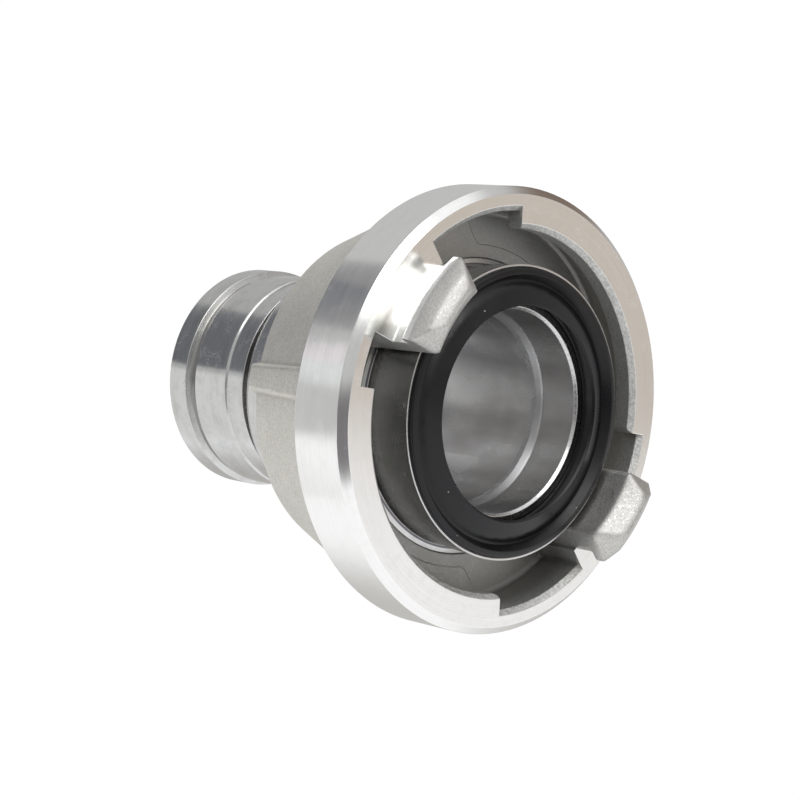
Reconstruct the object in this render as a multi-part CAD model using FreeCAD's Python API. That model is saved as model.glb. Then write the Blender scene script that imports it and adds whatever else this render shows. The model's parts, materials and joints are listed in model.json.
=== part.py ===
import FreeCAD, Part

import math
import os

from FreeCAD import Vector

# Quarter turn fire hose coupling, 52 mm size, in millimetres.
# The hose tail stands on its end at z = 0, and +Z runs along the flow axis towards the coupling face.
# The lugs lie on the X axis. Angles are in degrees, counter-clockwise seen from the coupling face.

# Heights of the main planes
TAIL_END_Z = 0.0
RING_BACK_Z = 46.3
RIM_BACK_Z = 73.1
FACE_Z = 88.5

# Rim and coupling pocket of the lug ring
RIM_R = 49.0
RIM_FRONT_EDGE = 1.7
RIM_BACK_EDGE = 0.6
RIM_WALL = 5.3
POCKET_DEPTH = 12.8
POCKET_FILLET = 1.6
CAST_BEVEL = 1.15

# Flange segments that the mating hooks draw up against
FLANGE_REACH = 3.8
FLANGE_THICK = 4.7
RAMP_RISE = 1.0
CORNER_R = 1.4

# Angular layout of one half of the face, the other half is the same turned by 180 degrees
LUG_HALF_ANGLE = 15.5
NOTCH_ANGLE = 15.0
OPENING_ANGLE = 36.0

# Hooked lugs, each starts a little behind the side wall of its entry opening
LUG_SET_BACK_ANGLE = 1.1
LUG_DRAFT = 0.6
LUG_CORNER_R = 1.4
LUG_HEIGHT = 12.1
NECK_CLEARANCE = 0.6
NECK_RELIEF = 0.35
HOOK_CLEARANCE = 1.8
HOOK_REACH = 4.9
HOOK_BAND = 2.1
HOOK_BREAK = 0.3
CREST_SHARE = 0.53
CREST_EASE = 0.9
FACET_DROP = 3.8
END_DROP = 4.4
END_RUN = 4.3
END_EASE_DROP = 0.9

# Conical cast back and its spanner ribs
BACK_WALL = 8.2
BACK_EDGE = 0.7
RIM_STEP = 2.3
RIB_ANGLE = 32.0
RIB_COUNT = 2
RIB_WIDTH_BACK = 5.4
RIB_WIDTH_FRONT = 6.6
RIB_HEIGHT_BACK = 2.3
RIB_HEIGHT_FRONT = 1.5
RIB_ROOT = 2.5
RIB_SIDE_DRAFT = 14.0
RIB_EDGE_R = 1.1

# Swivel: the tail's flange turns in a counterbore, its shank in the rear bore
SWIVEL_STEP = 7.7
SHANK_R = 29.0
SWIVEL_FLANGE_THICK = 5.2
SWIVEL_LEAD = 0.9
RUNNING_CLEARANCE = 0.08
AXIAL_CLEARANCE = 0.1

# Retaining ring and its groove in the shank
RETAINER_WIDTH = 1.8
RETAINER_HEIGHT = 3.2
RETAINER_GAP_ANGLE = 9.0
RETAINER_GROOVE_DEPTH = 1.5
RETAINER_SIDE_PLAY = 0.1
RETAINER_SEAT_PLAY = 0.05

# Hose spigot of the tail, from its end to the stop shoulder
MIDDLE_LAND_R = 25.3
TAIL_WALL = 3.9
END_CHAMFER = 0.6
END_BAND_STEP = 0.85
END_BAND_LENGTH = 6.6
END_GROOVE_DEPTH = 0.65
END_GROOVE_LENGTH = 2.2
LAND_LEAD = 0.45
MIDDLE_LAND_LENGTH = 12.1
LAST_LAND_STEP = 0.4
LAST_LAND_LENGTH = 5.5
NECK_GROOVE_DEPTH = 1.5
NECK_GROOVE_LENGTH = 4.8
SHOULDER_EASE = 2.2

# Seal head of the tail
HEAD_BASE_STEP = 1.8
HEAD_FRONT_STEP = 0.7
HEAD_PROUD = 1.3
HEAD_RIM_WALL = 0.55
BORE_STEP = 1.0
BORE_STEP_LENGTH = 1.6
FRONT_BORE_DEPTH = 10.0
INNER_WALL = 2.0
INNER_WALL_SET_BACK = 2.9
SEAL_LEDGE = 1.55
SEAL_LEDGE_DEPTH = 2.2
SEAL_GROOVE_DEPTH = 9.2
EDGE_BREAK = 0.3

# Face seal
SEAL_CLEARANCE = 0.05
SEAL_PROUD = 1.7
SEAL_LIP_OVERHANG = 1.15
SEAL_LIP_THICK = 1.4
SEAL_BACK_SHARE = 0.3
SEAL_RIDGE_SHARE = 0.55
SEAL_RIDGE_DROP = 1.55
SEAL_VALLEY_DEPTH = 0.9
SEAL_BEAD_WIDTH = 1.5
SEAL_BEAD_PROUD = 0.15
SEAL_EASE = 0.5

SWIVEL_R = MIDDLE_LAND_R + SWIVEL_STEP
POCKET_R = RIM_R - RIM_WALL
FLANGE_R = POCKET_R - FLANGE_REACH
NECK_R = FLANGE_R - NECK_CLEARANCE
HOOK_R = POCKET_R - HOOK_CLEARANCE
LUG_INNER_R = SWIVEL_R
REAR_BORE_R = SHANK_R + RUNNING_CLEARANCE
BACK_R = REAR_BORE_R + BACK_WALL
BACK_FRONT_R = RIM_R - RIM_STEP
WATERWAY_R = MIDDLE_LAND_R - TAIL_WALL
FRONT_BORE_R = WATERWAY_R + BORE_STEP
GROOVE_INNER_R = FRONT_BORE_R + INNER_WALL
HEAD_BASE_R = SWIVEL_R - HEAD_BASE_STEP
HEAD_FRONT_R = SWIVEL_R - HEAD_FRONT_STEP
LEDGE_R = HEAD_FRONT_R - HEAD_RIM_WALL
GROOVE_OUTER_R = LEDGE_R - SEAL_LEDGE
FLOOR_Z = FACE_Z - POCKET_DEPTH
SHOULDER_FACE_Z = FLOOR_Z - SWIVEL_FLANGE_THICK - AXIAL_CLEARANCE
HEAD_Z = FACE_Z + HEAD_PROUD
INNER_WALL_Z = HEAD_Z - INNER_WALL_SET_BACK
LUG_TOP_Z = FACE_Z + LUG_HEIGHT
HOOK_Z = FACE_Z + HOOK_REACH
BAND_TOP_Z = HOOK_Z + HOOK_BAND
RETAINER_TOP_Z = RING_BACK_Z - AXIAL_CLEARANCE
CUTTER = 30.0


def at(radius, z):
    """Point of a half section in the XZ plane."""
    return Vector(radius, 0, z)


def eased(r, z, dr, dz):
    """Four points that ease the corner (r, z) like a quarter round, from (r, z + dz) to (r + dr, z)."""
    points = []
    for angle in (0, 30, 60, 90):
        a = math.radians(angle)
        points.append(at(r + dr * (1 - math.cos(a)), z + dz * (1 - math.sin(a))))
    return points


def turned(points, angle=360.0, start=0.0):
    """Solid of a closed half section, turned about Z by an angle from a start angle."""
    face = Part.Face(Part.makePolygon(points + points[:1]))
    face.rotate(Vector(0, 0, 0), Vector(0, 0, 1), start)
    return face.revolve(Vector(0, 0, 0), Vector(0, 0, 1), angle)


def half_turned(shape):
    """Copy of a shape, turned by half a turn about Z."""
    copy = shape.copy()
    copy.rotate(Vector(0, 0, 0), Vector(0, 0, 1), 180)
    return copy


def radius_of(edge):
    """Distance of an edge's middle from the Z axis."""
    middle = edge.valueAt((edge.FirstParameter + edge.LastParameter) / 2)
    return math.hypot(middle.x, middle.y)


def rounded_uprights(shape, radius, reach, wanted):
    """Round the upright edges whose middle lies at a radius, by the radius given in reach."""
    edges = []
    for edge in shape.Edges:
        ends = [v.Point for v in edge.Vertexes]
        if len(ends) != 2 or abs(radius_of(edge) - radius) > LUG_DRAFT:
            continue
        across = math.hypot(ends[0].x - ends[1].x, ends[0].y - ends[1].y)
        if across < LUG_DRAFT * 1.01 and abs(ends[0].z - ends[1].z) > reach:
            edges.append(edge)
    if len(edges) != wanted:
        raise ValueError("%d upright edges found, %d wanted" % (len(edges), wanted))
    return shape.makeFillet(reach, edges)


def back_radius(z):
    """Radius of the conical back at a height."""
    share = (z - RING_BACK_Z) / (RIM_BACK_Z - RING_BACK_Z)
    return BACK_R + share * (BACK_FRONT_R - BACK_R)


def ring_body():
    """Turned body of the lug ring: rim, pocket with flat floor, swivel bores and conical back."""
    back_edge_z = RING_BACK_Z + BACK_EDGE
    return turned(
        [
            at(REAR_BORE_R, RING_BACK_Z),
            at(BACK_R - BACK_EDGE, RING_BACK_Z),
            at(back_radius(back_edge_z), back_edge_z),
            at(BACK_FRONT_R, RIM_BACK_Z),
            at(RIM_R - RIM_BACK_EDGE, RIM_BACK_Z),
            at(RIM_R, RIM_BACK_Z + RIM_BACK_EDGE),
        ]
        + eased(RIM_R, FACE_Z, -RIM_FRONT_EDGE, -RIM_FRONT_EDGE)
        + [at(POCKET_R, FACE_Z)]
        + eased(POCKET_R, FLOOR_Z, -POCKET_FILLET, POCKET_FILLET)
        + [
            at(SWIVEL_R, FLOOR_Z),
            at(SWIVEL_R, SHOULDER_FACE_Z),
            at(REAR_BORE_R, SHOULDER_FACE_Z),
        ]
    )


def flange_segment():
    """One flange segment between a notch and an entry opening, with its ramped back."""
    start = LUG_HALF_ANGLE + NOTCH_ANGLE
    end = 180 - LUG_HALF_ANGLE - OPENING_ANGLE
    root = POCKET_R + RIM_WALL / 4
    low = FACE_Z - FLANGE_THICK - RAMP_RISE
    segment = turned([
        at(FLANGE_R, low),
        at(root, low),
        at(root, FACE_Z),
        at(FLANGE_R, FACE_Z),
    ], end - start, start)
    segment = rounded_uprights(segment, FLANGE_R, CORNER_R, 2)
    # The back is a tilted plane, so the segment is thinner beside the opening.
    half_run = RIM_R * math.sin(math.radians((end - start) / 2))
    tilt = math.degrees(math.atan2(RAMP_RISE / 2, half_run))
    below = Part.makeBox(2 * RIM_R, 4 * RIM_R, CUTTER, Vector(0, -2 * RIM_R, -CUTTER))
    below.rotate(Vector(0, 0, 0), Vector(1, 0, 0), tilt)
    below.translate(Vector(0, 0, FACE_Z - FLANGE_THICK))
    below.rotate(Vector(0, 0, 0), Vector(0, 0, 1), (start + end) / 2)
    return segment.cut(below)


def face_bevels():
    """Cutters for the as-cast bevel along the openings, the notches and the flange segments."""
    notch_start = LUG_HALF_ANGLE
    notch_end = LUG_HALF_ANGLE + NOTCH_ANGLE
    opening_start = 180 - LUG_HALF_ANGLE - OPENING_ANGLE
    opening_end = 180 - LUG_HALF_ANGLE
    cutters = []
    for radius, start, end in (
        (POCKET_R, notch_start, notch_end),
        (FLANGE_R, notch_end, opening_start),
        (POCKET_R, opening_start, opening_end),
    ):
        cutters.append(turned([
            at(radius - CAST_BEVEL, FACE_Z - CAST_BEVEL),
            at(radius, FACE_Z - CAST_BEVEL),
            at(radius + CAST_BEVEL, FACE_Z),
            at(radius + CAST_BEVEL, FACE_Z + CAST_BEVEL),
            at(radius - CAST_BEVEL, FACE_Z + CAST_BEVEL),
        ], end - start, start))
    return cutters


def end_cutter(angle):
    """Cutter for the sloped end of a head: a steep facet and a flatter one that eases it into the top."""
    side = 1 if angle > 0 else -1
    low = LUG_TOP_Z - END_DROP
    bend = LUG_TOP_Z - END_EASE_DROP
    run = END_RUN * (END_DROP - END_EASE_DROP) / END_DROP
    steep = (bend - low) / run
    profile = [
        Vector(0, side * CUTTER, low - steep * CUTTER),
        Vector(0, 0, low),
        Vector(0, -side * run, bend),
        Vector(0, -side * (run + 2 * END_EASE_DROP), LUG_TOP_Z),
        Vector(0, -side * (run + 2 * END_EASE_DROP), LUG_TOP_Z + 1),
        Vector(0, side * CUTTER, LUG_TOP_Z + 1),
    ]
    cutter = Part.Face(Part.makePolygon(profile + profile[:1])).extrude(Vector(2 * RIM_R, 0, 0))
    cutter.rotate(Vector(0, 0, 0), Vector(0, 0, 1), angle)
    return cutter


def lug():
    """One hooked lug about the X axis: base below the face, column, neck, hook and faceted head."""
    base = turned([
        at(NECK_R, FLOOR_Z),
        at(POCKET_R + RIM_WALL / 4, FLOOR_Z),
        at(POCKET_R + RIM_WALL / 4, FACE_Z),
        at(NECK_R, FACE_Z),
    ], 2 * LUG_HALF_ANGLE, -LUG_HALF_ANGLE)
    start = LUG_SET_BACK_ANGLE - LUG_HALF_ANGLE
    top_r = LUG_INNER_R + LUG_DRAFT
    crest_r = top_r + CREST_SHARE * (HOOK_R - top_r)
    bulge_r = crest_r + 0.6 * (HOOK_R - crest_r)
    bulge_z = LUG_TOP_Z - 0.3 * (LUG_TOP_Z - BAND_TOP_Z)
    head = turned([
        at(LUG_INNER_R, FLOOR_Z),
        at(NECK_R, FLOOR_Z),
        at(NECK_R, HOOK_Z - NECK_RELIEF),
        at(NECK_R + NECK_RELIEF, HOOK_Z),
        at(HOOK_R - HOOK_BREAK, HOOK_Z),
        at(HOOK_R, HOOK_Z + HOOK_BREAK),
        at(HOOK_R, BAND_TOP_Z),
        at(bulge_r, bulge_z),
        at(crest_r, LUG_TOP_Z),
        at(crest_r - CREST_EASE, LUG_TOP_Z - CREST_EASE / 3),
        at(top_r, LUG_TOP_Z - FACET_DROP),
    ], LUG_HALF_ANGLE - start, start)
    head = rounded_uprights(head, LUG_INNER_R + LUG_DRAFT / 2, LUG_CORNER_R, 2)
    head = head.cut([end_cutter(start), end_cutter(LUG_HALF_ANGLE)])
    return base.fuse(head)


def spanner_rib():
    """One low rib on the conical back, wider and lower towards the rim."""
    sections = []
    for z, height, width in (
        (RING_BACK_Z, RIB_HEIGHT_BACK, RIB_WIDTH_BACK),
        (RIM_BACK_Z + RIM_BACK_EDGE, RIB_HEIGHT_FRONT, RIB_WIDTH_FRONT),
    ):
        surface = back_radius(z)
        outer = surface + height
        spread = (height + RIB_ROOT) * math.tan(math.radians(RIB_SIDE_DRAFT))
        corners = [
            Vector(surface - RIB_ROOT, -width / 2 - spread, z),
            Vector(outer, -width / 2, z),
            Vector(outer, width / 2, z),
            Vector(surface - RIB_ROOT, width / 2 + spread, z),
        ]
        sections.append(Part.makePolygon(corners + corners[:1]))
    rib = Part.makeLoft(sections, True, True)
    edges = []
    for edge in rib.Edges:
        outside = min(v.Point.x for v in edge.Vertexes) > BACK_R + RIB_HEIGHT_BACK / 2
        reaches_back = min(v.Point.z for v in edge.Vertexes) < RIM_BACK_Z
        if outside and reaches_back:
            edges.append(edge)
    return rib.makeFillet(RIB_EDGE_R, edges)


def lug_ring():
    """The casting: turned body, flange segments, lugs, bevels and spanner ribs."""
    segment = flange_segment()
    ring = ring_body().fuse([segment, half_turned(segment)])
    hook = lug()
    ring = ring.fuse([hook, half_turned(hook)])
    bevels = face_bevels()
    ring = ring.cut(bevels + [half_turned(piece) for piece in bevels])
    ribs = []
    for index in range(RIB_COUNT):
        rib = spanner_rib()
        rib.rotate(Vector(0, 0, 0), Vector(0, 0, 1), RIB_ANGLE + index * 360 / RIB_COUNT)
        ribs.append(rib)
    return ring.fuse(ribs).removeSplitter()


def hose_tail():
    """The turned tail: hose spigot, stop shoulder, swivel shank and flange, and seal head."""
    band_r = MIDDLE_LAND_R + END_BAND_STEP
    band_z = TAIL_END_Z + END_BAND_LENGTH
    land_z = band_z + END_GROOVE_LENGTH
    middle_z = land_z + MIDDLE_LAND_LENGTH
    last_r = MIDDLE_LAND_R - LAST_LAND_STEP
    last_z = middle_z + LAST_LAND_LENGTH
    shoulder_z = last_z + NECK_GROOVE_LENGTH
    retainer_r = SHANK_R - RETAINER_GROOVE_DEPTH
    flange_r = SWIVEL_R - RUNNING_CLEARANCE
    flange_z = SHOULDER_FACE_Z + AXIAL_CLEARANCE
    front_bore_z = INNER_WALL_Z - FRONT_BORE_DEPTH
    spigot = [
        at(WATERWAY_R + END_CHAMFER, TAIL_END_Z),
        at(band_r - END_CHAMFER, TAIL_END_Z),
        at(band_r, TAIL_END_Z + END_CHAMFER),
        at(band_r, band_z),
        at(MIDDLE_LAND_R - END_GROOVE_DEPTH, band_z + END_GROOVE_LENGTH / 4),
        at(MIDDLE_LAND_R - END_GROOVE_DEPTH, land_z - END_GROOVE_LENGTH / 4),
        at(MIDDLE_LAND_R, land_z + LAND_LEAD),
        at(MIDDLE_LAND_R, middle_z - LAND_LEAD),
        at(last_r, middle_z),
        at(last_r, last_z),
        at(last_r - NECK_GROOVE_DEPTH, last_z + EDGE_BREAK),
        at(last_r - NECK_GROOVE_DEPTH, shoulder_z),
        at(SHANK_R - SHOULDER_EASE, shoulder_z + EDGE_BREAK),
        at(SHANK_R - SHOULDER_EASE / 3, shoulder_z + EDGE_BREAK + SHOULDER_EASE / 3),
        at(SHANK_R, shoulder_z + EDGE_BREAK + SHOULDER_EASE),
    ]
    swivel = [
        at(SHANK_R, RETAINER_TOP_Z - RETAINER_WIDTH - RETAINER_SIDE_PLAY),
        at(retainer_r, RETAINER_TOP_Z - RETAINER_WIDTH - RETAINER_SIDE_PLAY),
        at(retainer_r, RETAINER_TOP_Z + RETAINER_SIDE_PLAY),
        at(SHANK_R, RETAINER_TOP_Z + RETAINER_SIDE_PLAY),
        at(SHANK_R, flange_z),
        at(flange_r, flange_z),
        at(flange_r, FLOOR_Z - SWIVEL_LEAD),
        at(HEAD_BASE_R, FLOOR_Z),
    ]
    head = [
        at(HEAD_FRONT_R, HEAD_Z),
        at(LEDGE_R, HEAD_Z),
        at(LEDGE_R, HEAD_Z - SEAL_LEDGE_DEPTH),
        at(GROOVE_OUTER_R, HEAD_Z - SEAL_LEDGE_DEPTH),
        at(GROOVE_OUTER_R, HEAD_Z - SEAL_GROOVE_DEPTH),
        at(GROOVE_INNER_R, HEAD_Z - SEAL_GROOVE_DEPTH),
        at(GROOVE_INNER_R, INNER_WALL_Z),
        at(FRONT_BORE_R + 2 * EDGE_BREAK, INNER_WALL_Z),
        at(FRONT_BORE_R, INNER_WALL_Z - 2 * EDGE_BREAK),
        at(FRONT_BORE_R, front_bore_z),
        at(WATERWAY_R, front_bore_z - BORE_STEP_LENGTH),
        at(WATERWAY_R, TAIL_END_Z + END_CHAMFER),
    ]
    return turned(spigot + swivel + head)


def retaining_ring():
    """Split spring ring in the groove of the shank, right behind the lug ring."""
    inner = SHANK_R - RETAINER_GROOVE_DEPTH + RETAINER_SEAT_PLAY
    outer = inner + RETAINER_HEIGHT
    return turned([
        at(inner, RETAINER_TOP_Z - RETAINER_WIDTH),
        at(outer, RETAINER_TOP_Z - RETAINER_WIDTH),
        at(outer, RETAINER_TOP_Z),
        at(inner, RETAINER_TOP_Z),
    ], 360 - RETAINER_GAP_ANGLE, RETAINER_GAP_ANGLE / 2)


def face_seal():
    """Rubber seal: body in the groove, lip over the inner wall, cone down to a ridge, valley and outer bead."""
    bottom = HEAD_Z - SEAL_GROOVE_DEPTH + SEAL_CLEARANCE
    inner = GROOVE_INNER_R + SEAL_CLEARANCE
    outer = GROOVE_OUTER_R - SEAL_CLEARANCE
    rim = LEDGE_R - SEAL_CLEARANCE
    ledge_z = HEAD_Z - SEAL_LEDGE_DEPTH + SEAL_CLEARANCE
    top = HEAD_Z + SEAL_PROUD
    lip_r = inner - SEAL_LIP_OVERHANG
    lip_z = top - SEAL_LIP_THICK
    back_r = inner + SEAL_BACK_SHARE * (outer - inner)
    ridge_r = inner + SEAL_RIDGE_SHARE * (outer - inner)
    ridge_z = top - SEAL_RIDGE_DROP
    valley_z = ridge_z - SEAL_VALLEY_DEPTH
    bead_r = rim - SEAL_BEAD_WIDTH
    bead_z = HEAD_Z + SEAL_BEAD_PROUD
    return turned([
        at(inner, bottom),
        at(outer, bottom),
        at(outer, ledge_z),
        at(rim, ledge_z),
        at(rim, bead_z - SEAL_EASE),
        at(rim - SEAL_EASE, bead_z),
        at(bead_r, bead_z),
        at((bead_r + ridge_r) / 2, valley_z),
        at(ridge_r + SEAL_EASE, valley_z + SEAL_EASE / 3),
        at(ridge_r, ridge_z),
        at(lip_r + SEAL_EASE, top),
        at(lip_r, top - SEAL_EASE),
        at(back_r, lip_z - SEAL_EASE),
        at(inner, INNER_WALL_Z - EDGE_BREAK),
    ])


def main():
    """Write one STEP file for each node."""
    os.makedirs("parts", exist_ok=True)
    nodes = {
        "lug_ring": lug_ring(),
        "hose_tail": hose_tail(),
        "face_seal": face_seal(),
        "retaining_ring": retaining_ring(),
    }
    for name, shape in nodes.items():
        print(name, "solids", len(shape.Solids), "volume", round(shape.Volume, 1), "valid", shape.isValid())
        shape.exportStep("parts/%s.step" % name)


main()
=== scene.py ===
"""Looks of a quarter turn fire hose coupling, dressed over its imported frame.

The coupling stands on the end of its hose tail, with the flow axis upright.
Sizes are in millimetres until a mesh or a shader needs metres.
"""

from __future__ import annotations

import json
import logging
import math
from dataclasses import dataclass, field
from enum import Enum
from functools import partial
from typing import Any, Callable

import bpy
from mathutils import Matrix, Vector

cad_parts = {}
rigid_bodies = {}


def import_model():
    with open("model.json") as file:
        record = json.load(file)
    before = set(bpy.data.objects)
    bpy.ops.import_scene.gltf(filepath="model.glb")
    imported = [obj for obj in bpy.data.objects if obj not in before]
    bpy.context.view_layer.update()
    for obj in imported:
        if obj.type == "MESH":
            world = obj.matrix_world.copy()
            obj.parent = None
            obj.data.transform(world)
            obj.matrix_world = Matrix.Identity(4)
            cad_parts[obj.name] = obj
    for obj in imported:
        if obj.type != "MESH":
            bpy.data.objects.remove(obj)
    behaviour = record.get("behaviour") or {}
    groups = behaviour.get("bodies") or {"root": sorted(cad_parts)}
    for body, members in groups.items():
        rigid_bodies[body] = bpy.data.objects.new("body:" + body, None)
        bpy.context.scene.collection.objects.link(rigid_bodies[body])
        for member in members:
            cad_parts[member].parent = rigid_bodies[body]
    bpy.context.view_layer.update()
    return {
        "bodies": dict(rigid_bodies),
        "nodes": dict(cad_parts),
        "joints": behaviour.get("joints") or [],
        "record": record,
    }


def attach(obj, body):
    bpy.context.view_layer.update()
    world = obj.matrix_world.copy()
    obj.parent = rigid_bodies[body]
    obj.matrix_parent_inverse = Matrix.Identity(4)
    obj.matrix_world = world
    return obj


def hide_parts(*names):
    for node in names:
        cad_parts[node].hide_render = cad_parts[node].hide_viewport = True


LOG = logging.getLogger("coupling")
MM = 0.001
Triple = tuple[float, float, float]
WELD = 0.002  # mm, under which two points are one
NEAR = 0.06  # mm, how far a point may be off the circle that it is picked by
HALF_TURN = 180.0  # degrees, after which the coupling side repeats

MATH = "ShaderNodeMath"
VECTOR = "ShaderNodeVectorMath"
RANGE = "ShaderNodeMapRange"
NOISE = "ShaderNodeTexNoise"
MIX = "ShaderNodeMix"
USUAL = {  # what these kinds of node are always set to here
    RANGE: {"interpolation_type": "SMOOTHSTEP"},
    NOISE: {"noise_dimensions": "3D"},
    MIX: {"data_type": "RGBA"},
}


def linear_rgb(code: str) -> tuple[float, float, float, float]:
    """Turns an sRGB hex colour into linear values.

    Args:
        code: the colour as "#RRGGBB".

    Returns:
        Red, green, blue and alpha, linear.
    """
    parts = [int(code[i : i + 2], 16) / 255 for i in (1, 3, 5)]
    values = [p / 12.92 if p <= 0.04045 else ((p + 0.055) / 1.055) ** 2.4 for p in parts]
    return values[0], values[1], values[2], 1.0


def add_node(
    tree: bpy.types.NodeTree,
    kind: str,
    *values: Any,
    links: dict[str, Any] | None = None,
    **settings: Any,
) -> bpy.types.Node:
    """Adds one node with its settings and fills its inputs.

    Args:
        tree: the node tree that gets the node.
        kind: the node's type name.
        values: what the inputs in use take, in their order. A node stands for its first
            output in use, and a socket or a plain value for itself.
        links: what inputs that are named take.
        settings: properties of the node itself.

    Returns:
        The new node.
    """
    node = tree.nodes.new(kind)
    for name, value in {**USUAL.get(kind, {}), **settings}.items():
        setattr(node, name, value)
    in_use = [socket for socket in node.inputs if socket.enabled]
    filled = list(zip(in_use, values))
    filled += [(node.inputs[name], value) for name, value in (links or {}).items()]
    for socket, value in filled:
        if isinstance(value, bpy.types.Node):
            value = next(output for output in value.outputs if output.enabled)
        if isinstance(value, bpy.types.NodeSocket):
            tree.links.new(value, socket)
        else:
            socket.default_value = value
    return node


@dataclass
class FlowAxis:
    """Places on a surface, by their radius, height and turn about the flow axis.

    The radius and the height are in millimetres and the turn is in radians. Each is a
    node or a socket, and add is add_node on this material's tree.
    """

    tree: bpy.types.NodeTree
    profile_weight: float = 1.6  # of the radius, since 1 would blank a pattern on 45 degrees
    add: Callable[..., bpy.types.Node] = field(init=False)
    point: bpy.types.Node = field(init=False)
    radius: bpy.types.Node = field(init=False)
    height: bpy.types.NodeSocket = field(init=False)
    turn: bpy.types.Node = field(init=False)

    def __post_init__(self) -> None:
        """Builds the shared coordinate nodes."""
        self.add = add = partial(add_node, self.tree)
        place = add("ShaderNodeTexCoord").outputs["Object"]
        self.point = add(VECTOR, place, 1 / MM, operation="SCALE")
        split = add("ShaderNodeSeparateXYZ", self.point)
        flat = add("ShaderNodeCombineXYZ", split.outputs["X"], split.outputs["Y"])
        self.radius = add(VECTOR, flat, operation="LENGTH")
        self.height = split.outputs["Z"]
        self.turn = add(MATH, split.outputs["Y"], split.outputs["X"], operation="ARCTAN2")

    def unrolled(self, around: float, along: float) -> bpy.types.Node:
        """Lays a turned surface out flat.

        Args:
            around: pattern units per radian of turn.
            along: pattern units per millimetre of profile.

        Returns:
            The vector that a pattern reads.
        """
        weighed = self.add(MATH, self.radius, self.profile_weight, operation="MULTIPLY")
        profile = self.add(MATH, self.height, weighed, operation="ADD")
        across = self.add(MATH, self.turn, around, operation="MULTIPLY")
        run = self.add(MATH, profile, along, operation="MULTIPLY")
        return self.add("ShaderNodeCombineXYZ", across, run)

    def half_turn_degrees(self) -> bpy.types.Node:
        """Returns the turn in degrees, begun anew after each half turn."""
        degrees = self.add(MATH, self.turn, 180 / math.pi, operation="MULTIPLY")
        return self.add(MATH, degrees, HALF_TURN, operation="FLOORED_MODULO")

    def across_grooves(self) -> bpy.types.Node:
        """Finds the way across the turned grooves.

        Returns:
            The direction that lies in the surface, square to the grooves.
        """
        around = self.add(VECTOR, (0.0, 0.0, 1.0), self.point, operation="CROSS_PRODUCT")
        to_world = {"vector_type": "VECTOR", "convert_from": "OBJECT", "convert_to": "WORLD"}
        world = self.add("ShaderNodeVectorTransform", around, **to_world)
        normal = self.add("ShaderNodeNewGeometry").outputs["Normal"]
        cross = self.add(VECTOR, world, normal, operation="CROSS_PRODUCT")
        return self.add(VECTOR, cross, operation="NORMALIZE")

    def within(self, value: Any, low: float, high: float) -> bpy.types.Node:
        """Finds where a value lies between two bounds.

        Args:
            value: the node or socket that is looked at.
            low: the lower bound.
            high: the upper bound.

        Returns:
            1 between the bounds, and 0 elsewhere.
        """
        over = self.add(MATH, value, low, operation="GREATER_THAN")
        under = self.add(MATH, value, high, operation="LESS_THAN")
        return self.add(MATH, over, under, operation="MULTIPLY")

    def product(self, *shares: Any) -> Any:
        """Multiplies shares, so that the result holds only where all of them do.

        Args:
            shares: nodes, sockets or numbers.

        Returns:
            Their product.
        """
        product = shares[0]
        for share in shares[1:]:
            product = self.add(MATH, product, share, operation="MULTIPLY")
        return product

    def layered(self, ground: Any, layers: list[tuple[Any, str]]) -> Any:
        """Lays tones over a ground colour, later ones over earlier ones.

        Args:
            ground: a colour or the node of one.
            layers: how much of each tone shows, and the tone as "#RRGGBB".

        Returns:
            The colour with all the layers on it.
        """
        for share, tone in layers:
            ground = self.add(MIX, share, ground, linear_rgb(tone))
        return ground

    def summed(self, base: Any, terms: list[tuple[Any, float]]) -> bpy.types.Node:
        """Adds amounts of patterns to a value.

        Args:
            base: the value.
            terms: each pattern, and how much of it is added.

        Returns:
            The sum, held between 0 and 1.
        """
        for number, (pattern, amount) in enumerate(terms, start=1):
            last = number == len(terms)
            part = self.product(pattern, amount)
            base = self.add(MATH, base, part, operation="ADD", use_clamp=last)
        return base

    def relief(
        self, height: Any, depth: float, edge_break: float, strength: float = 1.0, samples: int = 8
    ) -> bpy.types.Node:
        """Eases a surface's edges and raises a pattern on it.

        Args:
            height: the pattern, 1 where it stands highest.
            depth: how high that is, in mm.
            edge_break: the radius to which sharp edges are eased, in mm.
            strength: how much of the pattern shows.
            samples: how finely the edges are eased.

        Returns:
            The node of the normal.
        """
        eased = self.add("ShaderNodeBevel", edge_break * MM, samples=samples)
        links = {"Height": height, "Normal": eased, "Strength": strength, "Distance": depth * MM}
        return self.add("ShaderNodeBump", links=links)


@dataclass(frozen=True)
class Finish:
    """A named surface finish that can make its material."""

    name: str

    def material(self) -> bpy.types.Material:
        """Makes the material.

        Returns:
            The material, which reads nothing but places on the piece.
        """
        material = bpy.data.materials.new(self.name)
        material.use_nodes = True
        material.node_tree.nodes.clear()
        axis = FlowAxis(material.node_tree)
        shader = axis.add("ShaderNodeBsdfPrincipled", links=self.surface(axis))
        axis.add("ShaderNodeOutputMaterial", shader)
        return material

    def surface(self, axis: FlowAxis) -> dict[str, Any]:
        """Makes the finish's nodes.

        Args:
            axis: the places on the surface, on this material's tree.

        Returns:
            What each of the shader's inputs takes.
        """
        raise NotImplementedError


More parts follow.
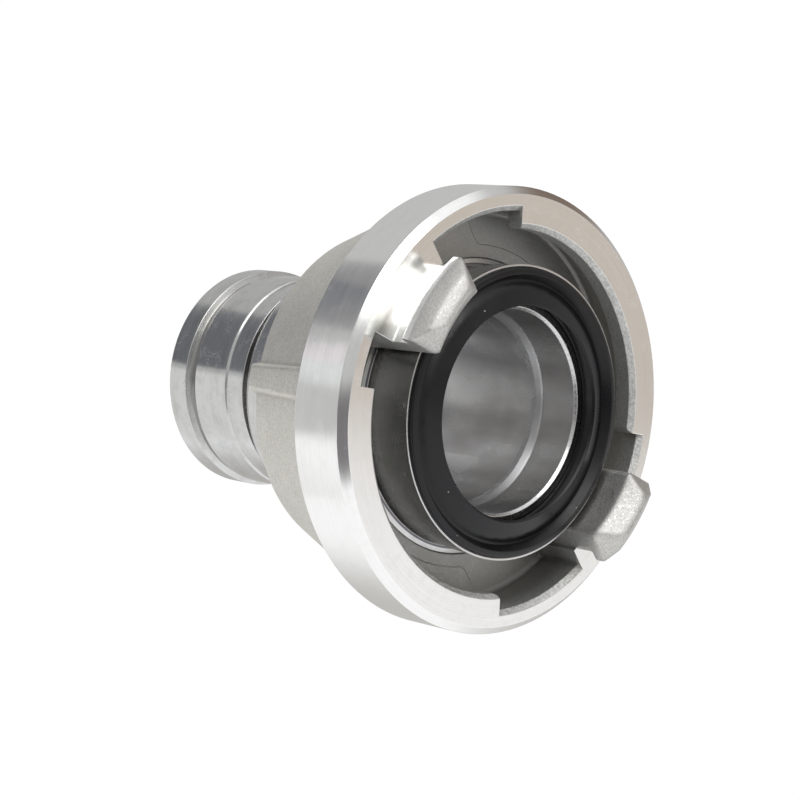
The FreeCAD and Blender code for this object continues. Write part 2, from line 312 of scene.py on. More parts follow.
@dataclass(frozen=True)
class TurnedAluminium(Finish):
    """Cast aluminium alloy turned on a lathe.

    Fine grooves run round the axis and stretch its reflections across them.
    """

    tone: str = "#F3F3F1"
    worn_tone: str = "#E3E2DF"
    roughness: float = 0.2
    anisotropy: float = 0.8
    groove_pitch: float = 0.32  # mm, drawn coarser than the real 0.1 mm feed so that it shows
    groove_depth: float = 0.003
    edge_break: float = 0.22
    bands: tuple[float, float] = (0.5, 0.55)  # per radian and per mm, soft bands 2 mm wide
    scratches: float = 0.35
    scratch_runs: tuple[tuple[float, float], ...] = ((30.0, 0.35), (14.0, 1.3))
    scratch_width: float = 0.007
    scratch_depth: float = 3.0  # times the groove's
    wear: float = 0.5
    wear_per_mm: float = 0.35  # patches 3 mm wide
    stain: float = 0.0
    stain_run: tuple[float, float] = (2.2, 0.2)  # per radian and per mm
    stain_and_shade_tone: str = "#8A8468"
    foot_shade: float = 0.0  # how dark the painted shade in the corner at the head's foot is
    foot_band: tuple[float, float] = (31.3, 31.95)  # mm, the radii between which it lies
    foot_top: float = 76.0
    foot_shade_tone: str = "#4A4650"
    groove_shade_radius: float = 0.0  # mm, under which the tail's grooves are painted darker, as painted shade
    spigot: tuple[float, float] = (6.0, 40.0)  # mm, the heights between which those lie
    groove_shade_tone: str = "#6B6762"
    relief_height: float = 0.0  # mm, of the relief under the hooks, where the lug's neck ends
    neck_foot: float = 88.6
    neck_radius: float = 39.9
    neck_turn: float = 17.0  # degrees, at which the neck's far end is
    # painted shade: the dark line in the relief under the hooks
    relief_shade_tone: str = "#5E4A3F"

    def surface(self, axis: FlowAxis) -> dict[str, Any]:
        """Makes the turned metal.

        Args:
            axis: the places on the surface, on this material's tree.

        Returns:
            What each of the shader's inputs takes.
        """
        add = axis.add
        grooves = add(NOISE, axis.unrolled(1.6, 1 / self.groove_pitch), 1.0, 3.0, 0.6)
        bands = add(NOISE, axis.unrolled(*self.bands), 1.0, 2.0, 0.5)
        patches = add(NOISE, axis.point, self.wear_per_mm, 5.0, 0.65)
        worn = axis.product(add(RANGE, patches, 0.45, 0.75), self.wear)
        scratch = axis.product(self.scratch_lines(axis), self.scratches)
        groove_share = add(RANGE, grooves, 0.35, 0.7, 0.0, 0.25)
        layers = [(worn, self.worn_tone), (groove_share, self.worn_tone)]
        base = add(MATH, add(RANGE, bands, 0.3, 0.7, -0.015, 0.02), self.roughness, operation="ADD")
        rough = axis.summed(base, [(worn, 0.05), (scratch, 0.25)])
        if self.stain:
            damp = add(NOISE, axis.unrolled(*self.stain_run), 1.0, 3.0)
            layers.append((add(RANGE, damp, 0.45, 0.75, 0.0, self.stain), self.stain_and_shade_tone))
        if self.foot_shade:
            # painted shade: a dark band in the corner at the head's foot
            layers.append((self.painted_foot_shade(axis), self.foot_shade_tone))
        if self.groove_shade_radius:
            # painted shade: darker at the bottom of the tail's grooves
            layers.append((self.painted_groove_shade(axis), self.groove_shade_tone))
        if self.relief_height:
            end, line = self.neck_end(axis)
            # painted shade: the neck's end darker, with a dark line in the relief under the hook;
            # its added roughness is real
            layers += [(axis.product(end, 0.55), self.stain_and_shade_tone), (line, self.relief_shade_tone)]
            rough = axis.summed(rough, [(end, 0.25)])
        cut = add(MATH, grooves, axis.product(scratch, self.scratch_depth), operation="SUBTRACT")
        return {
            "Base Color": axis.layered(linear_rgb(self.tone), layers),
            "Metallic": 1.0,
            "Roughness": rough,
            "Normal": axis.relief(cut, self.groove_depth, self.edge_break),
            "Anisotropic": self.anisotropy,
            "Tangent": axis.across_grooves(),
        }

    def painted_foot_shade(self, axis: FlowAxis) -> bpy.types.Node:
        """Finds the painted shade in the corner at the head's foot.

        Args:
            axis: the places on the surface.

        Returns:
            How much painted shade each place gets.
        """
        inner, outer = self.foot_band
        ending = axis.add(RANGE, axis.radius, outer - 0.2, outer, 1.0, 0.0)
        begun = axis.add(RANGE, axis.radius, inner, inner + 0.15)
        low = axis.add(MATH, axis.height, self.foot_top, operation="LESS_THAN")
        return axis.product(ending, begun, low, self.foot_shade)

    def painted_groove_shade(self, axis: FlowAxis) -> bpy.types.Node:
        """Finds the painted shade in the tail's grooves.

        Args:
            axis: the places on the surface.

        Returns:
            How much painted shade each place gets.
        """
        full = self.groove_shade_radius - 0.15
        deep = axis.add(RANGE, axis.radius, self.groove_shade_radius, full, 0.0, 0.5)
        return axis.product(deep, axis.within(axis.height, *self.spigot))

    def neck_end(self, axis: FlowAxis) -> tuple[bpy.types.Node, bpy.types.Node]:
        """Finds the painted shade at the end of the lug's neck.

        Args:
            axis: the places on the surface.

        Returns:
            Where the neck was left rougher and painted darker, as painted shade, and the painted
            shade line in the relief above it.
        """
        add = axis.add
        degrees = axis.half_turn_degrees()
        beside = axis.product(
            add(MATH, axis.radius, self.neck_radius, operation="LESS_THAN"),
            add(MATH, degrees, self.neck_turn, operation="LESS_THAN"),
        )
        above = add(RANGE, axis.height, self.neck_foot, self.neck_foot + 0.4)
        low = add(MATH, axis.height, self.relief_height, operation="LESS_THAN")
        patchy = add(RANGE, add(NOISE, axis.unrolled(6.0, 0.4), 1.0, 3.0), 0.3, 0.6, 0.5, 1.0)
        end = axis.product(beside, above, low, add(RANGE, degrees, 6.5, 12.5), patchy)
        off = add(MATH, axis.height, self.relief_height - 0.1, operation="SUBTRACT")
        off = add(MATH, off, operation="ABSOLUTE")
        line = add(RANGE, off, 0.1, 0.4, 1.0, 0.0)
        return end, axis.product(line, add(RANGE, degrees, 0.0, 9.0, 0.0, 0.9), beside)

    def scratch_lines(self, axis: FlowAxis) -> bpy.types.Node:
        """Draws thin handling scratches in two slants, gathered in patches.

        Args:
            axis: the places on the surface.

        Returns:
            1 on a scratch, and 0 beside it.
        """
        lines: Any = 0.0
        for run in self.scratch_runs:
            streaks = axis.add(NOISE, axis.unrolled(*run), 1.0, 1.0, 0.5)
            off = axis.add(MATH, streaks, 0.5, operation="SUBTRACT")
            off = axis.add(MATH, off, operation="ABSOLUTE")
            thin = axis.add(RANGE, off, 0.0, self.scratch_width, 1.0, 0.0)
            lines = axis.add(MATH, lines, thin, operation="MAXIMUM")
        where = axis.add(RANGE, axis.add(NOISE, axis.point, 0.25, 3.0), 0.52, 0.62)
        return axis.product(lines, where)


@dataclass(frozen=True)
class DrawnWaterway(Finish):
    """Waterway wall of cast alloy, drawn smooth.

    It is smeared with release oil, so that its shine is soft and streaked, and rough where
    the bore steps in.
    """

    tone: str = "#DFDFDF"
    smear_tone: str = "#B8B6B5"
    film_tone: str = "#D2D4D5"
    step_tone: str = "#A9ABAD"
    roughness: float = 0.24
    anisotropy: float = 0.5
    step_height: float = 75.3
    step_length: float = 1.1
    rough_band: tuple[float, float] = (1.9, 0.9)  # mm under the step, faint and full
    streaks: tuple[float, float] = (4.0, 0.05)  # per radian and per mm, 5 mm by 20 mm
    clouds_per_mm: float = 0.09
    pits_per_mm: float = 1.5
    pit_depth: float = 0.12
    edge_break: float = 0.3

    def surface(self, axis: FlowAxis) -> dict[str, Any]:
        """Makes the waterway's metal.

        Args:
            axis: the places on the surface, on this material's tree.

        Returns:
            What each of the shader's inputs takes.
        """
        add = axis.add
        drawn = add(NOISE, axis.unrolled(*self.streaks), 1.0, 3.0, 0.5)
        cloud = add(NOISE, axis.point, self.clouds_per_mm, 2.0, 0.5)
        pits = add(NOISE, axis.point, self.pits_per_mm, 3.0, 0.7)
        sway = add(RANGE, add(NOISE, axis.point, 0.8, 2.0), 0.0, 1.0, -0.5, 0.5)
        wavy = add(MATH, axis.height, sway, operation="ADD")
        faint, full = (self.step_height - under for under in self.rough_band)
        below = add(MATH, axis.height, self.step_height, operation="LESS_THAN")
        rough_line = axis.product(add(RANGE, wavy, faint, full), below, add(RANGE, pits, 0.4, 0.6))
        step_ends = (self.step_height - 0.02, self.step_height + self.step_length + 0.02)
        step = axis.within(axis.height, *step_ends)
        drawn_smear = add(RANGE, drawn, 0.3, 0.75, 0.0, 0.4)
        cloud_smear = add(RANGE, cloud, 0.3, 0.75, 0.0, 0.5)
        smear = add(MATH, drawn_smear, cloud_smear, operation="ADD")
        layers = [
            (smear, self.smear_tone),
            (axis.product(rough_line, 0.7), self.film_tone),
            (axis.product(step, 0.5), self.step_tone),
        ]
        rough = [(smear, 0.12), (rough_line, 0.3), (step, 0.1)]
        return {
            "Base Color": axis.layered(linear_rgb(self.tone), layers),
            "Metallic": 1.0,
            "Roughness": axis.summed(self.roughness, rough),
            "Normal": axis.relief(axis.product(rough_line, pits), self.pit_depth, self.edge_break),
            "Anisotropic": self.anisotropy,
            "Tangent": axis.across_grooves(),
        }


@dataclass(frozen=True)
class BlastedCasting(Finish):
    """Pressure cast aluminium alloy, shot blasted: dull warm grey with a fine sparkling grain."""

    tone: str = "#EDEBE4"
    deep_tone: str = "#BCBAB2"
    roughness: float = 0.55
    grain: float = 0.36  # mm, a little coarser than the real 0.3 mm grit marks
    grain_depth: float = 0.04
    edge_break: float = 0.45
    blotches: float = 0.12
    blotches_per_mm: float = 0.16  # 6 mm wide
    corner_reach: float = 2.5  # mm, how far the painted shade in corners reaches
    corner_shade: float = 0.55
    dust_and_shade_tone: str = "#75736C"
    shade_below: float = 0.0  # mm, height under which the pocket is painted darker, as painted shade
    shade_fade: float = 5.0  # mm, over which it darkens
    shade_tone: str = "#A7A6A2"
    parting: float = 0.0  # mm, how high the die's parting line stands on the pocket floor
    parting_radius: float = 35.8
    parting_turns: tuple[float, float, float] = (100.0, 127.5, 134.6)  # start, corner, end

    def surface(self, axis: FlowAxis) -> dict[str, Any]:
        """Makes the blasted metal.

        Args:
            axis: the places on the surface, on this material's tree.

        Returns:
            What each of the shader's inputs takes.
        """
        add = axis.add
        grit = add(NOISE, axis.point, 1 / self.grain, 2.0, 0.7)
        soft = add(NOISE, axis.point, self.blotches_per_mm, 3.0, 0.55)
        cells = add("ShaderNodeTexVoronoi", axis.point, 1.1 / self.grain, feature="F1")
        spark = add("ShaderNodeSeparateColor", cells.outputs["Color"])
        bright = add(RANGE, spark, 0.7, 1.0)
        grit_share = add(RANGE, grit, 0.6, 0.35, 0.0, 0.38)
        spark_share = add(RANGE, spark, 0.6, 0.0, 0.0, 0.3)
        speckled = add(MATH, grit_share, spark_share, operation="ADD")
        layers = [
            (add(RANGE, soft, 0.35, 0.7, 0.0, self.blotches), self.deep_tone),
            (speckled, self.deep_tone),
        ]
        if self.shade_below:
            full = self.shade_below - self.shade_fade
            low = add(RANGE, axis.height, self.shade_below, full, 0.0, 0.85)
            # painted shade: darker deeper in the pocket
            layers.append((low, self.shade_tone))
        # painted shade: darker in corners and creases, where less light reaches
        reach = {"Distance": self.corner_reach * MM}
        openness = add("ShaderNodeAmbientOcclusion", links=reach, samples=8).outputs["AO"]
        layers.append((add(RANGE, openness, 0.95, 0.45, 0.0, self.corner_shade), self.dust_and_shade_tone))
        dull = axis.product(bright, 0.2)
        height = add(MATH, grit, axis.product(bright, 0.5), operation="ADD")
        if self.parting:
            line = axis.product(self.parting_line(axis), self.parting / self.grain_depth)
            height = add(MATH, height, line, operation="ADD")
        return {
            "Base Color": axis.layered(linear_rgb(self.tone), layers),
            "Metallic": 1.0,
            "Roughness": add(MATH, self.roughness, dull, operation="SUBTRACT", use_clamp=True),
            "Normal": axis.relief(height, self.grain_depth, self.edge_break),
        }

    def parting_line(self, axis: FlowAxis) -> bpy.types.Node:
        """Draws the line of the die's insert: an arc on the floor that turns out to the wall.

        Args:
            axis: the places on the surface.

        Returns:
            1 on the line, and 0 beside it.
        """
        add = axis.add
        start, corner, end = self.parting_turns
        degrees = axis.half_turn_degrees()
        past = add(MATH, degrees, corner, operation="SUBTRACT")
        past = add(MATH, past, 0.0, operation="MAXIMUM")
        turned_out = axis.product(past, past, 0.12)
        arc = add(MATH, turned_out, self.parting_radius, operation="ADD")
        off = add(MATH, axis.radius, arc, operation="SUBTRACT")
        off = add(MATH, off, operation="ABSOLUTE")
        width = add(RANGE, past, 0.0, 5.0, 0.2, 0.45)
        ridge = add(RANGE, add(MATH, off, width, operation="DIVIDE"), 0.0, 1.0, 1.0, 0.0)
        return axis.product(ridge, axis.within(degrees, start, end))


@dataclass(frozen=True)
class MouldedRubber(Finish):
    """Black nitrile rubber from a smooth mould: satin, with a few specks of dust on it."""

    tone: str = "#08080B"
    bloom_tone: str = "#121317"
    dust_and_shade_tone: str = "#C9C9C6"
    roughness: float = 0.3
    ior: float = 1.42
    speck: float = 0.14  # mm, the middle size of a speck
    specks_per_mm: float = 0.34
    bare_cells: float = 0.45  # share of the places for a speck that stay clean
    bloom_per_mm: float = 0.12  # faint clouds 8 mm wide
    skin_per_mm: float = 4.0
    skin_depth: float = 0.004
    edge_break: float = 0.2

    def surface(self, axis: FlowAxis) -> dict[str, Any]:
        """Makes the rubber.

        Args:
            axis: the places on the surface, on this material's tree.

        Returns:
            What each of the shader's inputs takes.
        """
        add = axis.add
        fine = add(NOISE, axis.point, self.skin_per_mm, 2.0, 0.6)
        bloom = add(NOISE, axis.point, self.bloom_per_mm, 3.0, 0.6)
        cells = add("ShaderNodeTexVoronoi", axis.point, self.specks_per_mm, feature="F1")
        random = add("ShaderNodeSeparateColor", cells.outputs["Color"])
        smallest, largest = 0.3 * self.speck, 1.3 * self.speck
        size = add(RANGE, random.outputs["Green"], 0.0, 1.0, smallest, largest)
        off = add(MATH, cells.outputs["Distance"], self.specks_per_mm, operation="DIVIDE")
        close = add(MATH, off, size, operation="LESS_THAN")
        chosen = add(MATH, random, self.bare_cells, operation="GREATER_THAN")
        dust = axis.product(close, chosen)
        layers = [
            (add(RANGE, bloom, 0.4, 0.75, 0.0, 0.35), self.bloom_tone),
            (dust, self.dust_and_shade_tone),
        ]
        base = add(MATH, add(RANGE, bloom, 0.3, 0.7, -0.04, 0.06), self.roughness, operation="ADD")
        return {
            "Base Color": axis.layered(linear_rgb(self.tone), layers),
            "Roughness": axis.summed(base, [(dust, 0.4)]),
            "IOR": self.ior,
            "Normal": axis.relief(fine, self.skin_depth, self.edge_break, strength=0.6, samples=6),
        }


def make_active(piece: bpy.types.Object) -> None:
    """Leaves only one piece selected, and nothing in edit mode.

    Args:
        piece: the piece.
    """
    deselect_all()
    bpy.context.view_layer.objects.active = piece
    piece.select_set(True)


def deselect_all() -> None:
    """Leaves nothing selected and nothing in edit mode."""
    if bpy.context.object and bpy.context.object.mode != "OBJECT":
        bpy.ops.object.mode_set(mode="OBJECT")
    bpy.ops.object.select_all(action="DESELECT")


def node_copy(frame: dict[str, Any], node: str, name: str) -> bpy.types.Object:
    """Copies a node's mesh and joins its loose triangles.

    Args:
        node: the node to copy.
        name: the new piece's name.

    Returns:
        The copy, a piece of its own.
    """
    piece = bpy.data.objects.new(name, frame["nodes"][node].data.copy())
    piece.data.name = name
    bpy.context.scene.collection.objects.link(piece)
    make_active(piece)
    bpy.ops.mesh.customdata_custom_splitnormals_clear()
    bpy.ops.object.mode_set(mode="EDIT")
    bpy.ops.mesh.select_all(action="SELECT")
    bpy.ops.mesh.remove_doubles(threshold=WELD * MM)
    bpy.ops.object.mode_set(mode="OBJECT")
    piece.data.materials.clear()
    return piece


def smooth_between_creases(piece: bpy.types.Object, crease: float) -> None:
    """Shades a piece smooth between its creases, with its large faces kept even.

    Args:
        piece: the mesh piece.
        crease: the angle from which an edge stays sharp, in degrees.
    """
    make_active(piece)
    bpy.ops.object.shade_smooth_by_angle(angle=math.radians(crease))
    even = piece.modifiers.new("even", "WEIGHTED_NORMAL")
    even.mode = "FACE_AREA"
    even.weight = 80
    even.keep_sharp = True
    bpy.ops.object.modifier_apply(modifier=even.name)


def pick(piece: bpy.types.Object, elements: str, wanted: Callable[..., bool]) -> int:
    """Selects a piece's points or faces by a test and leaves it in edit mode.

    Args:
        piece: the mesh piece.
        elements: "VERT" or "FACE".
        wanted: takes a point's place, or a face's centre and normal, in millimetres.

    Returns:
        How many were picked.
    """
    make_active(piece)
    bpy.ops.object.mode_set(mode="EDIT")
    bpy.ops.mesh.select_mode(type=elements)
    bpy.ops.mesh.select_all(action="DESELECT")
    bpy.ops.object.mode_set(mode="OBJECT")
    if elements == "VERT":
        chosen = [point for point in piece.data.vertices if wanted(point.co / MM)]
    else:
        faces = piece.data.polygons
        chosen = [face for face in faces if wanted(face.center / MM, face.normal)]
    for element in chosen:
        element.select = True
    bpy.ops.object.mode_set(mode="EDIT")
    return len(chosen)


def on_circle(place: Vector, radius: float, height: float) -> bool:
    """Tells whether a point lies on a turned circle."""
    return abs(place.xy.length - radius) < NEAR and abs(place.z - height) < NEAR


def move_circle(
    piece: bpy.types.Object, circle: tuple[float, float], goal: tuple[float, float]
) -> None:
    """Moves the points of a turned circle to another radius and height.

    Args:
        piece: the mesh piece.
        circle: the radius and height that they have, in mm.
        goal: the radius and height that they get, in mm.
    """
    radius, height = circle
    count = pick(piece, "VERT", partial(on_circle, radius=radius, height=height))
    LOG.info("%s: %d points moved at %.1f mm", piece.name, count, height)
    scale = goal[0] / radius
    bpy.ops.transform.resize(value=(scale, scale, 1.0), center_override=(0, 0, 0))
    bpy.ops.transform.translate(value=(0, 0, (goal[1] - height) * MM))
    bpy.ops.object.mode_set(mode="OBJECT")


def dress_where(
    piece: bpy.types.Object, slot: int, wanted: Callable[[Vector, Vector], bool]
) -> int:
    """Gives a material slot to the faces that a test picks.

    Args:
        piece: the mesh piece.
        slot: the slot's number.
        wanted: takes a face's centre and normal, in millimetres, and picks it or not.

    Returns:
        How many faces were picked.
    """
    count = pick(piece, "FACE", wanted)
    piece.active_material_index = slot
    bpy.ops.object.material_slot_assign()
    bpy.ops.object.mode_set(mode="OBJECT")
    return count


class RingFinish(Enum):
    """The finishes of the lug ring, in the order of its material slots."""

    CAST = 0
    POCKET = 1
    TURNED = 2
    CUT_EDGE = 3
    HEAD = 4


@dataclass
class LugRing:
    """The cast lug ring: rim, pocket, flange segments, two hooked lugs and two spanner ribs."""

    frame: dict[str, Any]
    face_height: float = 88.5
    face_play: float = 0.05  # mm, how far off the flat face a centre may lie and be on it
    rim_radius: float = 49.0
    rim_edge: float = 1.7
    rim_step_radius: float = 46.9
    rim_back: float = 72.9
    flange_radius: float = 39.5
    pocket_radius: float = 44.3
    pocket_heights: tuple[float, float] = (75.4, 87.6)
    neck_radius: float = 38.9
    bore_radius: float = 33.2
    bore_height: float = 75.7
    cut_edge_depth: float = 2.4
    cut_edge_radius: float = 45.5
    crease: float = 25.0  # degrees

    def build(self) -> bpy.types.Object:
        """Builds the ring over its node.

        Returns:
            The ring, dressed and riding on its body.
        """
        piece = node_copy(self.frame, "lug_ring", "ring_casting")
        for finish in self.finishes():
            piece.data.materials.append(finish.material())
        self.flatten_chamfer(piece)
        smooth_between_creases(piece, self.crease)
        for area, wanted in self.places().items():
            count = dress_where(piece, area.value, wanted)
            LOG.info("lug ring: %s on %d faces", area.name, count)
        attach(piece, "ring")
        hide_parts("lug_ring")
        return piece

    def flatten_chamfer(self, piece: bpy.types.Object) -> None:
        """Draws the two middle circles of the rim's front edge onto one straight chamfer.

        Args:
            piece: the ring.
        """
        for share, angle in ((1 / 3, 30), (2 / 3, 60)):
            turn = math.radians(angle)
            radius = self.rim_radius - self.rim_edge * (1 - math.cos(turn))
            height = self.face_height - self.rim_edge * (1 - math.sin(turn))
            flat_radius = self.rim_radius - self.rim_edge * share
            flat_height = self.face_height - self.rim_edge * (1 - share)
            move_circle(piece, (radius, height), (flat_radius, flat_height))

    def finishes(self) -> list[Finish]:
        """Returns the finishes in the order of RingFinish."""
        return [
            BlastedCasting("blasted_cast_aluminium"),
            BlastedCasting(
                # a darker copy of the cast metal, as painted shade in the pocket
                "pocket_painted_shade_aluminium",
                tone="#CFCFCC",
                deep_tone="#A3A3A0",
                shade_below=86.0,
                parting=0.07,
            ),
            TurnedAluminium(
                "turned_rim_aluminium",
                roughness=0.17,
                anisotropy=0.85,
                wear=0.25,
                # tone of the painted shade at the neck's end
                stain_and_shade_tone="#8F8F8A",
                relief_height=93.4,
            ),
            BlastedCasting(
                "rough_cut_edge_aluminium",
                tone="#DADAD7",
                deep_tone="#A3A29F",
                grain=0.6,
                grain_depth=0.14,
            ),
            BlastedCasting(
                "blasted_lug_aluminium",
                tone="#D3D2CE",
                deep_tone="#A8A7A3",
                grain_depth=0.05,
                edge_break=2.0,
            ),
        ]

    def places(self) -> dict[RingFinish, Callable[[Vector, Vector], bool]]:
        """Returns where each finish goes, later ones over earlier ones."""
        return {
            RingFinish.CAST: self.is_casting,
            RingFinish.POCKET: self.in_pocket,
            RingFinish.TURNED: self.is_turned,
            RingFinish.CUT_EDGE: self.is_cut_edge,
            RingFinish.HEAD: self.is_head,
        }

    def is_casting(self, centre: Vector, normal: Vector) -> bool:
        """Tells that every face is as cast, until it gets another finish."""
        return True

    def in_pocket(self, centre: Vector, normal: Vector) -> bool:
        """Tells whether a face lies in the pocket behind the flange."""
        low, high = self.pocket_heights
        return low < centre.z < high and centre.xy.length < self.pocket_radius

    def is_turned(self, centre: Vector, normal: Vector) -> bool:
        """Tells whether a face was turned: rim, flat face, neck, hook strip or counterbore.

        Args:
            centre: the face's centre.
            normal: its direction.

        Returns:
            True where the lathe cut it.
        """
        radius, height = centre.xy.length, centre.z - self.face_height
        outward = (normal.x * centre.x + normal.y * centre.y) / max(radius, 1e-6)
        rim = radius > self.rim_step_radius and centre.z > self.rim_back
        face = abs(height) < self.face_play and radius > self.flange_radius and normal.z > 0.9
        strip = height > 0 and radius > self.neck_radius and (outward > 0.97 or normal.z < -0.3)
        bore = radius < self.bore_radius and centre.z < self.bore_height and outward < -0.5
        return rim or face or strip or bore

    def is_cut_edge(self, centre: Vector, normal: Vector) -> bool:
        """Tells whether a face is one of the rough cut edges round the openings."""
        deep = -self.cut_edge_depth < centre.z - self.face_height < -self.face_play
        return deep and 0.25 < normal.z < 0.95 and centre.xy.length < self.cut_edge_radius

    def is_head(self, centre: Vector, normal: Vector) -> bool:
        """Tells whether a face belongs to a lug above the flat face and was left as blasted."""
        above = centre.z > self.face_height + self.face_play
        return above and not self.is_turned(centre, normal)


@dataclass
class HoseTail:
    """The turned hose tail with its seal head and waterway."""

    frame: dict[str, Any]
    waterway_radius: float = 22.6
    bore_top: float = 87.0
    flange_radius: float = 32.92
    flange_top: float = 74.8
    lead_rise: float = 0.44
    crease: float = 25.0  # degrees

    def build(self) -> bpy.types.Object:
        """Builds the tail over its node.

        Returns:
            The tail, dressed and riding on its body.
        """
        piece = node_copy(self.frame, "hose_tail", "tail_turning")
        self.flatten_lead(piece)
        smooth_between_creases(piece, self.crease)
        for finish in self.finishes():
            piece.data.materials.append(finish.material())
        count = dress_where(piece, 1, self.in_waterway)
        LOG.info("hose tail: waterway on %d faces", count)
        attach(piece, "tail")
        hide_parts("hose_tail")
        return piece

    def finishes(self) -> list[Finish]:
        """Chooses the tail's two finishes.

        Returns:
            The outside's, then the waterway's.
        """
        skin = TurnedAluminium(
            "turned_tail_aluminium",
            tone="#D5D5D4",
            worn_tone="#BDBDBC",
            anisotropy=0.75,
            scratches=0.8,
            wear=0.6,
            stain=0.2,
            edge_break=0.3,
            foot_shade=0.85,
            groove_shade_radius=24.85,
        )
        return [skin, DrawnWaterway("drawn_waterway_aluminium")]

    def flatten_lead(self, piece: bpy.types.Object) -> None:
        """Lifts the outer edge of the slope at the head's foot, as its reflections suggest."""
        edge = (self.flange_radius, self.flange_top)
        move_circle(piece, edge, (self.flange_radius, self.flange_top + self.lead_rise))

    def in_waterway(self, centre: Vector, normal: Vector) -> bool:
        """Tells whether a face is the waterway's wall."""
        inward = normal.x * centre.x + normal.y * centre.y < 0
        return centre.xy.length < self.waterway_radius and inward and centre.z < self.bore_top


@dataclass
class FaceSeal:
    """The moulded lip seal in the head's groove."""

    frame: dict[str, Any]
    bead_inner: float = 29.9
    bead_foot: float = 89.3
    bead_rise: float = 0.8
    crease: float = 50.0  # degrees

    def build(self) -> bpy.types.Object:
        """Builds the seal over its node.

        Returns:
            The seal, dressed and riding on its body.
        """
        piece = node_copy(self.frame, "face_seal", "seal_moulding")
        self.raise_bead(piece)
        smooth_between_creases(piece, self.crease)
        piece.data.materials.append(MouldedRubber("moulded_nitrile_rubber").material())
        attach(piece, "tail")
        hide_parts("face_seal")
        return piece

    def raise_bead(self, piece: bpy.types.Object) -> None:
        """Raises the outer bead, as far as the metal rim beside it seems hidden.

        Args:
            piece: the seal.
        """
        count = pick(piece, "VERT", self.on_bead)
        LOG.info("face seal: %d points of the bead raised", count)
        bpy.ops.transform.translate(value=(0, 0, self.bead_rise * MM))
        bpy.ops.object.mode_set(mode="OBJECT")

    def on_bead(self, place: Vector) -> bool:
        """Tells whether a point lies on the outer bead."""
        return place.xy.length > self.bead_inner and place.z > self.bead_foot


@dataclass
class SpringRing:
    """The split spring ring behind the casting."""

    frame: dict[str, Any]
    crease: float = 30.0  # degrees

    def build(self) -> bpy.types.Object:
        """Builds the ring over its node.

        Returns:
            The ring, dressed and riding on its body.
        """
        piece = node_copy(self.frame, "retaining_ring", "spring_ring")
        smooth_between_creases(piece, self.crease)
        piece.data.materials.append(self.finish().material())
        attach(piece, "tail")
        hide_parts("retaining_ring")
        return piece

    def finish(self) -> Finish:
        """Returns bright drawn spring steel, whose fine marks run round as turned ones do."""
        return TurnedAluminium(
            "bright_spring_steel",
            tone="#A9A9AA",
            worn_tone="#8D8D8E",
            roughness=0.28,
            anisotropy=0.3,
        )


@dataclass(frozen=True)
class SoftPatch:
    """A soft patch of the studio that the metal mirrors, in a direction of the studio's."""

    side: float
    lift: float
    front: float
    core: float  # degrees about that direction with the full tone
    reach: float  # degrees at which it has faded out
    tone: Triple


